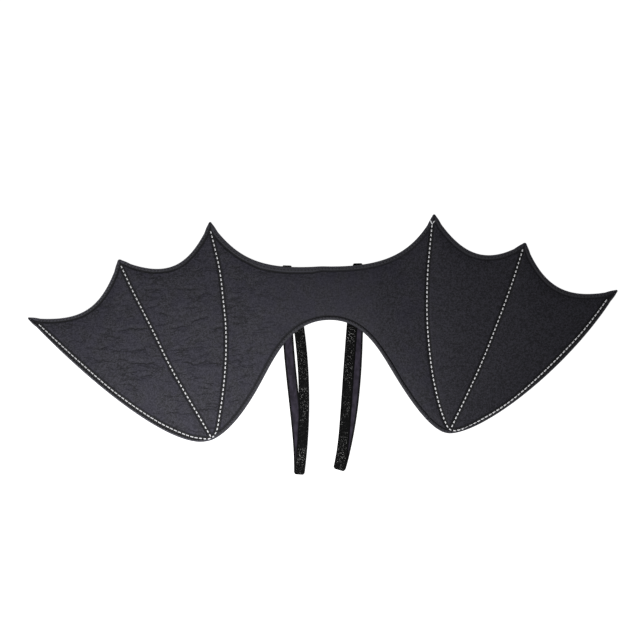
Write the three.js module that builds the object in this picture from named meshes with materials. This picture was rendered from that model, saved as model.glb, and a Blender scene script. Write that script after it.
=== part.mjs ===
// Bat wings for a child's costume. A padded cloth panel has the shape of both wings and of the
// yoke between them, its edge is bound with folded tape, and two folded elastic shoulder straps
// are sewn to its back. The wings lie on a surface with the straps underneath.
// Sizes are in millimetres. +X points to the right wing, +Y to the neck edge and +Z up.

import * as THREE from "three";
import { mergeVertices } from "three/addons/utils/BufferGeometryUtils.js";

// Size of the panel, seen from above
const halfSpan = 295; // from the centre line to the outer tip of a wing
const wingHeight = 221; // from the rounded bottoms to the highest tip

// Padding of the panel
const fieldThickness = 4.8; // in the middle of a field
const seamThickness = 3.4; // at the stitched ribs and beside the tape
const edgeThickness = 2.2; // squeezed flat inside the tape
const swellReach = 26; // how far from a seam the padding reaches its full thickness
const seamRun = 1.2; // the width of the step from the squeezed edge up to the seam

// Tape that is folded round the edge
const tapeWidth = 4;
const tapeThickness = 0.6;
const tapeRounding = 0.5; // of the tape's outer fold

// Shoulder straps
const strapWidth = 10;
const strapThickness = 1.2;
const strapSpread = 36.6; // from the centre line to the middle of a strap at the neck edge
const strapDrop = 207; // from the neck edge down to the fold of a hanging loop
const turnedIn = 11; // the strap's upper end, folded over between the strap and the panel
const sewnEnd = 14; // how far the strap's other end reaches in behind the panel

// Fits
const clearance = 0.3; // between pieces, and between the two layers of a folded strap
const liftMargin = 4; // the panel lies level this far past the outer edges of the straps
const liftRun = 40; // the width over which the panel comes down from the straps to the surface

// The edge of each wing as a chain of curves, from the middle of the neck edge round the wing to
// the top of the arch. Each row ends a curve at along, up. The curve leaves the last point
// towards outAlong, outUp and arrives from inAlong, inUp. Along is a share of halfSpan from the
// centre line and up is a share of wingHeight from the bottom, as is neckMiddleShare, where the
// chains start. The wings lie slightly askew, so each has a table of its own.
const neckMiddleShare = 0.778;
const rightWing = [
  { curve: "neck", outAlong: 0.21, outUp: 0.76, inAlong: 0.307, inUp: 0.812, along: 0.389, up: 0.994 },
  { curve: "innerScallop", outAlong: 0.458, outUp: 0.845, inAlong: 0.535, inUp: 0.727, along: 0.694, up: 0.848 },
  { curve: "outerScallop", outAlong: 0.75, outUp: 0.641, inAlong: 0.824, inUp: 0.575, along: 1, up: 0.617 },
  { curve: "lowerEdge", outAlong: 0.846, outUp: 0.3, inAlong: 0.538, inUp: 0, along: 0.414, up: 0 },
  { curve: "innerEdge", outAlong: 0.354, outUp: 0, inAlong: 0.285, inUp: 0.152, along: 0.237, up: 0.265 },
  { curve: "arch", outAlong: 0.183, outUp: 0.395, inAlong: 0.136, inUp: 0.534, along: 0.014, up: 0.534 },
];
const leftWing = [
  { curve: "neck", outAlong: 0.19, outUp: 0.772, inAlong: 0.28, inUp: 0.814, along: 0.37, up: 1 },
  { curve: "innerScallop", outAlong: 0.444, outUp: 0.807, inAlong: 0.515, inUp: 0.741, along: 0.684, up: 0.846 },
  { curve: "outerScallop", outAlong: 0.749, outUp: 0.615, inAlong: 0.82, inUp: 0.567, along: 1, up: 0.599 },
  { curve: "lowerEdge", outAlong: 0.826, outUp: 0.33, inAlong: 0.525, inUp: -0.044, along: 0.397, up: 0.012 },
  { curve: "innerEdge", outAlong: 0.338, outUp: 0.038, inAlong: 0.274, inUp: 0.137, along: 0.21, up: 0.285 },
  { curve: "arch", outAlong: 0.158, outUp: 0.404, inAlong: 0.102, inUp: 0.534, along: -0.014, up: 0.534 },
];

// Steps along each curve. The upper and the lower edge of a wing pair up step by step, apart from
// the inner scallop, whose steps all fan out from the foot of the wing.
const neckSteps = 16;
const innerScallopSteps = 10;
const outerScallopSteps = 12;
const lowerEdgeSteps = 12;
const innerEdgeSteps = 8;
const archSteps = 8;

// The inner rib of each wing bows towards the centre line, by a share of halfSpan.
const ribBow = { right: 0.05, left: 0.053 };

// Rows of points from the lower to the upper edge of the padding, as shares of the way
const rowShares = [0, 0.07, 0.22, 0.41, 0.59, 0.78, 0.93, 1];

// Routes of the straps. Across is a share of strapSpread from the centre line, and down is a
// share of strapDrop below the neck edge. Each smooth leg runs from the neck edge to the fold
// and each plush leg from the fold back to the arch. Proud is how far, in shares of strapWidth,
// the turned end shows above the neck edge.
const straps = [
  {
    name: "shoulder_strap_left",
    side: -1,
    proud: 0.09,
    top: { across: 0.93 },
    smoothUpper: { across: 1.15, down: 0.42 },
    smoothLower: { across: 0.745, down: 0.73 },
    fold: { across: 0.825, down: 1 },
    plushLower: { across: 0.64, down: 0.82 },
    plushUpper: { across: 0.48, down: 0.56 },
    end: { across: 0.695 },
  },
  {
    name: "shoulder_strap_right",
    side: 1,
    proud: 0.14,
    top: { across: 1 },
    smoothUpper: { across: 0.96, down: 0.38 },
    smoothLower: { across: 0.805, down: 0.74 },
    fold: { across: 0.27, down: 0.98 },
    plushLower: { across: 0.45, down: 0.86 },
    plushUpper: { across: 0.54, down: 0.6 },
    end: { across: 0.81 },
  },
];
const legSteps = 18;
const foldSteps = 6;

// The steps by the names of the curves
const curveSteps = {
  neck: neckSteps,
  innerScallop: innerScallopSteps,
  outerScallop: outerScallopSteps,
  lowerEdge: lowerEdgeSteps,
  innerEdge: innerEdgeSteps,
  arch: archSteps,
};

// Heights and places that follow from the sizes
const layerHeight = strapThickness + clearance; // from one layer of a folded strap to the next
const liftHeight = 2 * layerHeight; // the panel's back above the surface, over the straps
const liftedHalfWidth = strapSpread + strapWidth / 2 + liftMargin;
const cutEdgeInset = tapeThickness + clearance;
const squeezedInset = tapeWidth + clearance;
const seamInset = squeezedInset + seamRun;
const tapeHeight = edgeThickness + 2 * cutEdgeInset;

const clothColour = 0x33323a;
const tapeColour = 0x2b2b2d;
const strapColour = 0x232226;
const cloth = new THREE.MeshStandardMaterial({ color: clothColour, roughness: 0.85, metalness: 0 });
const tape = new THREE.MeshStandardMaterial({ color: tapeColour, roughness: 0.8, metalness: 0 });
const elastic = new THREE.MeshStandardMaterial({ color: strapColour, roughness: 0.9, metalness: 0 });

// Collects the faces of one closed body, each with its corners anticlockwise from outside.
class Body {
  constructor() {
    this.corners = [];
  }

  quad(a, b, c, d) {
    this.corners.push(a, b, c, a, c, d);
  }

  // A strip of faces between two closed rings with the same number of points
  band(ring, next) {
    ring.forEach((point, i) => {
      const j = (i + 1) % ring.length;
      this.quad(point, ring[j], next[j], next[i]);
    });
  }

  // A geometry with shared vertices and without the faces that have shrunk to a line
  geometry() {
    const loose = new THREE.BufferGeometry().setFromPoints(this.corners);
    const merged = mergeVertices(loose);
    const index = Array.from(merged.getIndex().array);
    const kept = [];
    for (let i = 0; i < index.length; i += 3) {
      const [a, b, c] = index.slice(i, i + 3);
      if (a !== b && b !== c && c !== a) kept.push(a, b, c);
    }
    merged.setIndex(kept);
    merged.computeVertexNormals();
    return merged;
  }
}

function bezier(start, leave, arrive, end, count) {
  return new THREE.CubicBezierCurve(start, leave, arrive, end).getPoints(count);
}

// The edge of one wing, as the lists of points along its upper and its lower side, both from the
// centre line to the outer tip
function wingEdge(table, side) {
  const place = (along, up) => new THREE.Vector2(side * along * halfSpan, up * wingHeight);
  let start = place(0, neckMiddleShare);
  const points = [start];
  for (const row of table) {
    const end = place(row.along, row.up);
    const leave = place(row.outAlong, row.outUp);
    const arrive = place(row.inAlong, row.inUp);
    points.push(...bezier(start, leave, arrive, end, curveSteps[row.curve]).slice(1));
    start = end;
  }
  const upperCount = neckSteps + innerScallopSteps + outerScallopSteps;
  return { upper: points.slice(0, upperCount + 1), lower: points.slice(upperCount).reverse() };
}

// The whole edge, anticlockwise from the right outer tip: the upper side, then the lower side.
// Column k joins point k of the upper side to point pairs[k] of the loop.
function panelEdge() {
  const right = wingEdge(rightWing, 1);
  const left = wingEdge(leftWing, -1);
  const crown = right.lower[0].clone().add(left.lower[0]).multiplyScalar(0.5);
  right.lower[0] = crown;
  const upper = [...right.upper.slice().reverse(), ...left.upper.slice(1)];
  const lower = [...left.lower.slice(1, -1).reverse(), ...right.lower.slice(0, -1)];
  const loop = [...upper, ...lower];
  const rightSteps = [
    ...Array(outerScallopSteps).fill(1),
    ...Array(innerScallopSteps).fill(0),
    ...Array(neckSteps).fill(1),
  ];
  const pairs = [loop.length];
  for (const step of [...rightSteps, ...rightSteps.slice().reverse()]) {
    pairs.push(pairs.at(-1) - step);
  }
  return { loop, upper, pairs: pairs.map((i) => i % loop.length) };
}

// The closed loop again, moved inwards by a distance, with mitred corners
function inset(loop, distance) {
  return loop.map((point, i) => {
    const before = loop.at(i - 1);
    const after = loop[(i + 1) % loop.length];
    const inA = inward(before, point);
    const inB = inward(point, after);
    const mitre = inA.clone().add(inB).divideScalar(1 + inA.dot(inB));
    return point.clone().addScaledVector(mitre, distance);
  });
}

function inward(from, to) {
  const along = to.clone().sub(from).normalize();
  return new THREE.Vector2(-along.y, along.x);
}

function smooth(share) {
  const s = THREE.MathUtils.clamp(share, 0, 1);
  return s * s * (3 - 2 * s);
}

// The height of the panel's back above the surface: it lies over the straps in the middle and on
// the surface to both sides of them.
function lift(x) {
  return liftHeight * (1 - smooth((Math.abs(x) - liftedHalfWidth) / liftRun));
}

function raised(point, height) {
  return new THREE.Vector3(point.x, point.y, lift(point.x) + height);
}

// The distance from a point to a chain of points
function distanceTo(chain, point) {
  const nearest = new THREE.Vector3();
  const at = new THREE.Vector3(point.x, point.y, 0);
  let least = Infinity;
  for (let i = 1; i < chain.length; i += 1) {
    const a = new THREE.Vector3(chain[i - 1].x, chain[i - 1].y, 0);
    const b = new THREE.Vector3(chain[i].x, chain[i].y, 0);
    new THREE.Line3(a, b).closestPointToPoint(at, true, nearest);
    least = Math.min(least, nearest.distanceTo(at));
  }
  return least;
}

// How far column k bows sideways at half its height. The inner ribs bow most.
function columnBow(k, columnCount) {
  const rib = outerScallopSteps + innerScallopSteps;
  const side = k < columnCount / 2 ? "right" : "left";
  const fromTip = side === "right" ? k : columnCount - 1 - k;
  const reach = fromTip < rib ? innerScallopSteps : neckSteps;
  const share = Math.max(0, 1 - Math.abs(fromTip - rib) / reach);
  return share * ribBow[side] * halfSpan * (side === "right" ? -1 : 1);
}

// The points of the padding: columns from the lower to the upper seam, the same number in each
function paddingColumns(edge, seam) {
  return edge.upper.map((_, k) => {
    const bow = columnBow(k, edge.upper.length);
    return rowShares.map((share) => {
      const point = seam[edge.pairs[k]].clone().lerp(seam[k], share);
      point.x += 4 * share * (1 - share) * bow;
      return point;
    });
  });
}

// The padded panel: flat inside the tape, pressed down along the seams and swelling between them
function wingPanel(edge) {
  const cut = inset(edge.loop, cutEdgeInset);
  const squeezed = inset(edge.loop, squeezedInset);
  const seam = inset(edge.loop, seamInset);
  const columns = paddingColumns(edge, seam);
  const middleRib = outerScallopSteps;
  const innerRib = middleRib + innerScallopSteps;
  const ribs = [middleRib, innerRib, -1 - innerRib, -1 - middleRib].map((k) => columns.at(k));
  const seams = [[...seam, seam[0]], ...ribs];
  const thickness = (point) => {
    const near = Math.min(...seams.map((chain) => distanceTo(chain, point)));
    return seamThickness + (fieldThickness - seamThickness) * smooth(near / swellReach);
  };
  const squeezedTop = cutEdgeInset + edgeThickness;
  const rings = [
    seam.map((point) => raised(point, 0)),
    squeezed.map((point) => raised(point, cutEdgeInset)),
    cut.map((point) => raised(point, cutEdgeInset)),
    cut.map((point) => raised(point, squeezedTop)),
    squeezed.map((point) => raised(point, squeezedTop)),
    seam.map((point) => raised(point, seamThickness)),
  ];
  const body = new Body();
  rings.slice(1).forEach((ring, i) => body.band(rings[i], ring));
  const front = columns.map((column) => column.map((point) => raised(point, thickness(point))));
  const back = columns.map((column) => column.map((point) => raised(point, 0)));
  for (let k = 1; k < columns.length; k += 1) {
    for (let r = 1; r < rowShares.length; r += 1) {
      body.quad(front[k - 1][r - 1], front[k - 1][r], front[k][r], front[k][r - 1]);
      body.quad(back[k - 1][r - 1], back[k][r - 1], back[k][r], back[k - 1][r]);
    }
  }
  return body.geometry();
}

// The tape: a U-shaped section that is carried round the whole edge
function edgeBinding(edge) {
  const section = [
    { inwards: tapeWidth, height: 0 },
    { inwards: tapeRounding, height: 0 },
    { inwards: 0, height: tapeRounding },
    { inwards: 0, height: tapeHeight - tapeRounding },
    { inwards: tapeRounding, height: tapeHeight },
    { inwards: tapeWidth, height: tapeHeight },
    { inwards: tapeWidth, height: tapeHeight - tapeThickness },
    { inwards: tapeThickness, height: tapeHeight - tapeThickness },
    { inwards: tapeThickness, height: tapeThickness },
    { inwards: tapeWidth, height: tapeThickness },
  ];
  const rings = section.map((corner) =>
    inset(edge.loop, corner.inwards).map((point) => raised(point, corner.height)),
  );
  const body = new Body();
  rings.forEach((ring, i) => body.band(ring, rings[(i + 1) % rings.length]));
  return body.geometry();
}

// Where a chain of points stands at a given x
function heightAt(chain, x) {
  const i = chain.findIndex((point, k) => k > 0 && (chain[k - 1].x - x) * (point.x - x) <= 0);
  return THREE.MathUtils.mapLinear(x, chain[i - 1].x, chain[i].x, chain[i - 1].y, chain[i].y);
}

// The routes of the two legs of a strap, seen from above: down from the neck edge, and back up
function strapLegs(strap, edge) {
  const across = (share) => strap.side * share * strapSpread;
  const topAcross = across(strap.top.across);
  const endAcross = across(strap.end.across);
  const neckHeight = heightAt(edge.upper, topAcross);
  const archHeight = heightAt(edge.loop.slice(edge.upper.length), endAcross);
  const place = (row) => new THREE.Vector2(across(row.across), neckHeight - row.down * strapDrop);
  const foldReach = (layerHeight + strapThickness) / 2;
  const top = new THREE.Vector2(topAcross, neckHeight + strap.proud * strapWidth - foldReach);
  const fold = place(strap.fold);
  const end = new THREE.Vector2(endAcross, archHeight + sewnEnd);
  return {
    smooth: bezier(top, place(strap.smoothUpper), place(strap.smoothLower), fold, legSteps),
    plush: bezier(fold, place(strap.plushLower), place(strap.plushUpper), end, legSteps),
  };
}

function direction(from, to) {
  return to.clone().sub(from).normalize();
}

// A station of a strap's middle line: its place, its direction of travel and the direction across
// the strap. Turn is 0 where the strap runs down in the lower layer and half a circle where it
// runs back in the upper one.
function station(point, down, turn) {
  const height = strapThickness / 2 + (layerHeight / 2) * (1 - Math.cos(turn));
  const bulge = (layerHeight / 2) * Math.sin(turn);
  return {
    place: new THREE.Vector3(point.x + down.x * bulge, point.y + down.y * bulge, height),
    travel: new THREE.Vector3(down.x * Math.cos(turn), down.y * Math.cos(turn), Math.sin(turn)),
    width: new THREE.Vector3(-down.y, down.x, 0),
  };
}

// The stations of a fold that starts at a given turn
function foldStations(point, down, startTurn) {
  const turns = Array.from({ length: foldSteps + 1 }, (_, i) => startTurn + (Math.PI * i) / foldSteps);
  return turns.map((turn) => station(point, down, turn));
}

// The stations between the ends of a leg
function legStations(leg, turn) {
  return leg.slice(1, -1).map((point, i) => {
    const along = direction(leg[i], leg[i + 2]);
    return station(point, turn === 0 ? along : along.negate(), turn);
  });
}

// A strap from its turned-in end over the neck edge, down the smooth leg and up the plush leg
function strapStations(strap, edge) {
  const { smooth: smoothLeg, plush: plushLeg } = strapLegs(strap, edge);
  const topDown = direction(smoothLeg[0], smoothLeg[1]);
  const smoothDown = direction(smoothLeg.at(-2), smoothLeg.at(-1));
  const foldDown = smoothDown.add(direction(plushLeg[1], plushLeg[0])).normalize();
  const endDown = direction(plushLeg.at(-1), plushLeg.at(-2));
  const turnedEnd = smoothLeg[0].clone().addScaledVector(topDown, turnedIn);
  return [
    station(turnedEnd, topDown, Math.PI),
    ...foldStations(smoothLeg[0], topDown, Math.PI),
    ...legStations(smoothLeg, 0),
    ...foldStations(plushLeg[0], foldDown, 0),
    ...legStations(plushLeg, Math.PI),
    station(plushLeg.at(-1), endDown, Math.PI),
  ];
}

// A flat strap along its stations
function strapBody(stations) {
  const corners = [[-1, -1], [1, -1], [1, 1], [-1, 1]];
  const rings = stations.map(({ place, travel, width }) => {
    const thick = travel.clone().cross(width).normalize();
    return corners.map(([across, through]) => {
      const corner = place.clone().addScaledVector(width, (across * strapWidth) / 2);
      return corner.addScaledVector(thick, (through * strapThickness) / 2);
    });
  });
  const body = new Body();
  rings.slice(1).forEach((ring, i) => body.band(rings[i], ring));
  const first = rings[0];
  const last = rings.at(-1);
  body.quad(first[3], first[2], first[1], first[0]);
  body.quad(last[0], last[1], last[2], last[3]);
  return body.geometry();
}

function named(name, geometry, material) {
  const mesh = new THREE.Mesh(geometry, material);
  mesh.name = name;
  return mesh;
}

function batWings() {
  const edge = panelEdge();
  const group = new THREE.Group();
  group.add(named("wing_panel", wingPanel(edge), cloth));
  group.add(named("edge_binding", edgeBinding(edge), tape));
  for (const strap of straps) {
    group.add(named(strap.name, strapBody(strapStations(strap, edge)), elastic));
  }
  const box = new THREE.Box3().setFromObject(group, true);
  const middle = box.getCenter(new THREE.Vector3());
  group.position.set(-middle.x, -middle.y, -box.min.z);
  return group;
}

export default batWings();
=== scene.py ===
"""Looks of the bat wings: the padded panel, the tape round its edge, the rib stitching and the
two folded elastic straps, on a plain floor. All sizes are real, and they are in metres unless a
table says millimetres.
"""

import math
from functools import partialmethod

import bmesh
import bpy
import numpy as np
from bpy.props import FloatProperty, FloatVectorProperty, IntProperty, PointerProperty
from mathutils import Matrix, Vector, noise
from mathutils.bvhtree import BVHTree
from mathutils.kdtree import KDTree


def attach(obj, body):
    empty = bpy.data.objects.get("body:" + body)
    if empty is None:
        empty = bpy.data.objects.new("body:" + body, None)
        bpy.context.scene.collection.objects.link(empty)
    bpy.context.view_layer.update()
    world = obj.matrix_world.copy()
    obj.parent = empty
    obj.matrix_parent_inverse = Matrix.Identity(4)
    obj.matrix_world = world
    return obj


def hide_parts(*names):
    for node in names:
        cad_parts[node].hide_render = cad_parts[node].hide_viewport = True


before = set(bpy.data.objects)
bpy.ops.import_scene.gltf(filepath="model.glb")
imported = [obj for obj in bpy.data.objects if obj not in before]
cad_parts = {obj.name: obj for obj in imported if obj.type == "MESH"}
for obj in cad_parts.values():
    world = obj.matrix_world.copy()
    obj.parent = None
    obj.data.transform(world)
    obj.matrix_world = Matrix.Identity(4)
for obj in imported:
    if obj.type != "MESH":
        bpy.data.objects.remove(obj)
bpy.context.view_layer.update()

bl_info = {
    "name": "Bat Wings",
    "version": (1, 0, 0),
    "blender": (4, 5, 0),
    "location": "View3D > Sidebar > Bat Wings",
    "description": "Dresses a pair of padded bat wings with cloth, tape, thread and elastic",
    "category": "Object",
}

MM = 0.001
BODY = "root"
WELD = 1e-6
UP = np.array([0.0, 0.0, 1.0])

# Step of the lines that stitches follow and that distances are measured from, in metres
FINE_STEP = 0.0005

# Stitched lines on the wings, each through listed points, in millimetres. The line of an
# inner rib runs on round the foot of the wing and along its lower edge to the outer tip.
RIB_LINES = {
    "left_inner_rib_and_edge": [
        (-109, 120), (-105.2, 101.3), (-101.4, 79.7), (-98.9, 48), (-97.6, 24.5), (-98.3, -1.6),
        (-101.3, -30.7), (-107.1, -64.2), (-110.8, -80.2), (-114, -85.6), (-118.4, -88),
        (-128.5, -87.1), (-137.2, -84.9), (-154.6, -77.2), (-173.6, -66.1), (-209.2, -39.3),
        (-244.6, -6.5), (-284.5, 33.3),
    ],
    "left_middle_rib": [(-200, 88.9), (-189.4, 63.4), (-170.5, 22), (-153.6, -16.2), (-116.6, -86.6)],
    "right_inner_rib_and_edge": [
        (112.5, 117.2), (109, 91.9), (106.2, 69.5), (104.2, 40), (103.8, 14.5), (106.1, -25.4),
        (109.7, -50.1), (114.2, -70.2), (119.8, -85.7), (122.7, -88.9), (125.8, -89.8),
        (136.4, -87.8), (155, -79.3), (180.1, -65), (211.8, -40.2), (253.6, -1),
        (271.3, 18.9), (284.2, 35.3),
    ],
    "right_middle_rib": [(202.3, 89.3), (190.5, 56.7), (174.5, 17.8), (154.3, -27.4), (122.4, -88.9)],
}
INNER_LINES = ("left_inner_rib_and_edge", "right_inner_rib_and_edge")
MIDDLE_LINES = ("left_middle_rib", "right_middle_rib")

# Creases, the left wing's first and then the faint ones of the right wing: x and y of the start
# and of the end, how far the middle lies above the straight line, in millimetres, and depth as a
# share of the deepest
CREASES = [
    (-181, 64.4, -163, 63.8, -1.2, 0.35), (-146.5, 63.9, -129, 61.4, 0.4, 0.6),
    (-127.5, 79.2, -112, 83.3, 0.8, 0.4), (-116.5, 91.4, -110, 90, 0.2, 0.25),
    (-95, 72.6, -79, 69.6, -1.2, 0.35), (-98, 61.2, -86, 62, 0.5, 0.3), (-127, 55, -112, 59, -1.2, 0.9),
    (-118.5, 57, -109.5, 55, 0.6, 0.45), (-154.5, 48.9, -148.5, 48, 0.2, 0.5),
    (-94, 49.8, -82, 50.8, 0.3, 0.4), (-174.6, 45, -166, 45.8, 0.6, 0.5),
    (-139.6, 43.9, -123, 44.2, -0.9, 0.65), (-164, 40.3, -155, 34.8, 0.5, 0.9),
    (-204, 42.6, -189, 45, 0.1, 0.55), (-202, 48.3, -188, 49, 0.5, 0.35), (-208, 35, -199, 38, 0.1, 0.45),
    (-133, 27.4, -113, 33, 1.4, 0.85), (-87, 35.5, -78, 36.4, 0.8, 0.4),
    (-205, 23.2, -174.5, 24.7, 0.9, 0.95), (-153, 23.2, -131.5, 25.8, 0.2, 0.75),
    (-113.5, 21.8, -96, 21.4, 0.5, 0.8), (-239, 7, -231, 7.8, 0.5, 0.5), (-228, 6.2, -215.5, 8.8, -0.7, 0.75),
    (-216, 4, -196, 5.8, -0.9, 0.7), (-190.5, 3.2, -178, 3.2, 0.7, 0.8), (-133, 11.2, -120, 10.6, -0.9, 0.6),
    (-150, 2, -127.5, 3.3, 0.4, 0.5), (-93, 0.1, -84, -0.2, 0.1, 0.6), (-78, 6.7, -69, 6, 0.2, 0.45),
    (-69.6, -2.6, -65, -4.6, 0.1, 0.4), (-213, -7.8, -208, -8.4, 0.1, 0.7),
    (-197, -9.4, -168.5, -9.2, -0.9, 1), (-153, -9.5, -142, -7.6, -0.5, 0.8),
    (-141, -11, -129, -13.4, 0.6, 1), (-129.5, -13.4, -116.8, -9, -1.4, 0.85),
    (-120, -13.4, -103, -14, 0.7, 1), (-126.5, -5.7, -111, -0.8, -0.5, 0.6),
    (-93, -17.8, -85, -17.1, 0.1, 0.5), (-207.5, -19.5, -192, -17.6, -0.6, 0.5),
    (-188.5, -25.6, -171, -22, 0.2, 0.75), (-171, -20.5, -160.5, -11.5, -0.4, 0.4),
    (-161, -29, -154.5, -28.2, 0.1, 0.5), (-98.6, -37.3, -92, -37.1, 0.1, 0.6),
    (-131, -42.9, -115, -42.5, 0.4, 0.5), (-159, -45.2, -154, -43, 0.1, 0.4),
    (-97.5, -52.3, -81, -52.4, 0.9, 0.7), (-121, -52.7, -109, -53.7, 0.2, 0.6),
    (-151, -54, -142.5, -53.2, 0.1, 0.5), (-130, -58.9, -112, -58.5, -0.2, 0.85),
    (-161, -61.8, -146, -60.2, 0.3, 0.7), (-147.5, -62.1, -135, -63.2, 0.1, 0.55),
    (79.7, 30.6, 92.9, 29, 0.3, 0.4), (108.7, 31.4, 125.6, 29.7, 0.6, 0.3),
    (121.4, -2.1, 133.3, -3.5, -0.4, 0.35), (169.2, -4, 178.1, -4.8, 0.2, 0.3),
    (90.7, -18.8, 101.6, -20.3, 0.4, 0.4), (124.3, -17.5, 137.7, -17.3, 0.5, 0.65),
    (108.5, -24.5, 143.4, -25.4, -0.8, 0.5), (94.3, -30, 102, -35.2, 0.3, 0.35),
    (116.2, -55.7, 130.2, -56.3, 0.4, 0.4),
]

# Loose ends of the thread at the right wing's top tip, in millimetres
THREAD_ENDS = [
    [(112.5, 117.3), (111.6, 118.9), (110.9, 120.3)],
    [(112.5, 117.3), (113.6, 118.6), (115, 120)],
]

# Width of the tape on the front of the upper edge, in millimetres, by x in millimetres
TAPE_FRONT_WIDTHS = [
    (-295, 3.2), (-205, 3.4), (-112, 3.6), (-104, 4.8), (-70, 4.9), (-60, 5.8), (-8, 5.6), (0, 4.2),
    (60, 4.2), (112, 3.8), (150, 4.6), (203, 3.8), (240, 4.4), (295, 4.0),
]

# The same for the lower edges, the bay and the arch
TAPE_LOWER_WIDTHS = [(-295, 2.0), (-135, 2.1), (-115, 3.7), (115, 3.6), (135, 2.2), (295, 2.2)]

# How uneven those widths are, in metres
TAPE_WOBBLE = 0.0002

# Tips are the corners of the outline that bend by more than this many degrees. They are blunted:
# some stations on each side move outwards and apart by shares of the reach, in metres.
TIP_BEND, TIP_REACH, TIP_STATIONS = 40, 0.00055, 9
TIP_OUT, TIP_OUT_FALL, TIP_APART = 1.3, 0.5, 1.35

# How the folded tape rounds off: distances in from the outline and from its face, in metres
TAPE_ROUNDING = [(0.0013, 0.00002), (0.0007, 0.0002), (0.00025, 0.0006), (0.00004, 0.0012)]

# Where the cloth is held, in metres: fully within a grip of a seam or of the tape, and less and
# less over the release
SEAM_GRIP, SEAM_RELEASE = 0.0008, 0.0012
TAPE_GRIP, TAPE_RELEASE = 0.0004, 0.003

# The padding, in metres: the height above the back at which its front begins, the height of the
# front beside the tape and its rise over a distance, how far from the tape it is free of that,
# and the half width of the channel along a seam with its depth on the back
FRONT_FROM, BESIDE_TAPE, RISE, RISE_OVER, FREE_FROM = 0.0016, 0.0029, 0.0013, 0.012, 0.009
CHANNEL, BACK_CHANNEL = 0.0017, 0.0006

# A crease: half width of its valley in metres, and for the ridge above it the height as a share
# of the valley's depth, the distance and the half width
VALLEY, RIDGE, RIDGE_AT, RIDGE_WIDTH = 0.0012, 0.35, 0.0034, 0.0024

# Frames of the cloth simulation that swells the padding
SWELL_FRAMES = 20

# Two-ply thread: how much narrower it is between the plies, how they twist, how much it tapers
# towards the ends of a stitch, its height over its width, and how deep the ends go, in metres
PLY_GROOVE, TWIST, TAPER, FLATNESS, END_DEPTH = 0.16, 5.0, 0.55, 0.62, 0.0006

# Height of a stitch above the cloth on each face of the wings, in metres, and how flat those on
# the back are pressed by the weight of the wings, as a share of their height
STITCH_ABOVE, PRESSED = {"front": 0.0002, "back": -0.0001}, 0.4

# The loose ends of the thread: step of their line, pitch of the twists and height, in metres
END_STEP, END_PITCH, END_ABOVE = 0.0002, 0.0019, 0.0004

# Where the long stitches of the lower edges begin, in metres from the middle, and the width of
# the left ones as a share
LONG_FROM, LEFT_THIN = 0.129, 0.88

# The black seam of the tape: its place as a share of the tape's width, how much further in it
# lies on the outer lower edges and how thin it is there, its pitch and its room to a mitre
SEAM_AT, SEAM_SHIFT, SEAM_THIN, SEAM_PITCH, SEAM_ROOM = 0.62, 0.3, 0.7, 0.0034, 0.0012

# Folded straps: height of the upper layer above the surface that the wings lie on, rounding of
# the long edges and reach of a flare along the strap, in metres, points across, and how much of
# the full rounding the corners of a fold get
UPPER_LAYER, EDGE_ROUNDING, FLARE_REACH = 0.0015, 0.00028, 0.02
STRAP_POINTS, CORNER_SHARE = 9, 0.8

# A tuft of the pile, in metres: its width, how deep it is sunk in and how far it stays above
# that surface. It leans at random, and whole patches lean one way.
TUFT_WIDTH, TUFT_SUNK, TUFT_CLEAR = 0.00042, 0.00005, 0.00002
LEAN, PATCH_LEAN = 0.35, (-0.5, -0.4, 0)

# Routes of the straps' legs, each as a start, two handles and an end, in millimetres. Flare is
# the share by which the strap is pressed wider at its lower fold.
STRAPS = {
    "left": {
        "smooth": [(-34.0, 80.7), (-41.4, -6.6), (-27.1, -70.7), (-30.2, -126.6)],
        "plush": [(-30.2, -126.6), (-23.8, -89.4), (-18.1, -35.5), (-25.8, 29.8)],
        "flare": 0.0,
    },
    "right": {
        "smooth": [(36.6, 80.0), (34.8, 0.5), (29.5, -74.0), (9.9, -123.7)],
        "plush": [(9.9, -123.7), (16.7, -98.8), (20.1, -45.0), (29.9, 31.2)],
        "flare": 0.15,
    },
}


# Settings that a user would change


def length(name, description, default, largest=1.0):
    """A size in metres for the sidebar."""
    return FloatProperty(
        name=name, description=description, default=default, min=0.0, max=largest, unit="LENGTH", precision=5
    )


def share(name, description, default, largest=1.0):
    """A plain number for the sidebar."""
    return FloatProperty(name=name, description=description, default=default, min=0.0, max=largest)


def colour(name, description, default):
    """A linear colour for the sidebar."""
    return FloatVectorProperty(
        name=name, description=description, default=default, min=0.0, max=1.0, size=3, subtype="COLOR"
    )


class PanelSettings(bpy.types.PropertyGroup):
    voxel: length("Mesh size", "Size of the faces that the padded panel is made of", 0.0018, 0.01)
    pressure: share("Pressure", "How hard the wadding pushes the cloth up between the seams", 4.0, 20.0)
    largest_swell: length("Largest swell", "How far the cloth may rise from its cut shape", 0.0012, 0.01)
    crease_depth: length("Crease depth", "Depth of the deepest crease", 0.0008, 0.002)
    unevenness: length("Unevenness", "Height of the soft bumps of the left wing", 0.0003, 0.002)
    seam_depth: length("Seam depth", "How far the thread pulls the cloth in along the ribs", 0.0008, 0.002)
    cloth: colour("Cloth", "Colour of the charcoal cloth", (0.0161, 0.0152, 0.0225))
    cloth_light: colour("Cloth grain", "Colour of the light grains in the cloth", (0.0275, 0.0262, 0.0358))
    tint: colour("Patches", "Colour of the faint violet patches", (0.0200, 0.0178, 0.0370))
    sheen: share("Sheen", "Soft shine of the cloth's nap", 0.12)


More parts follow.
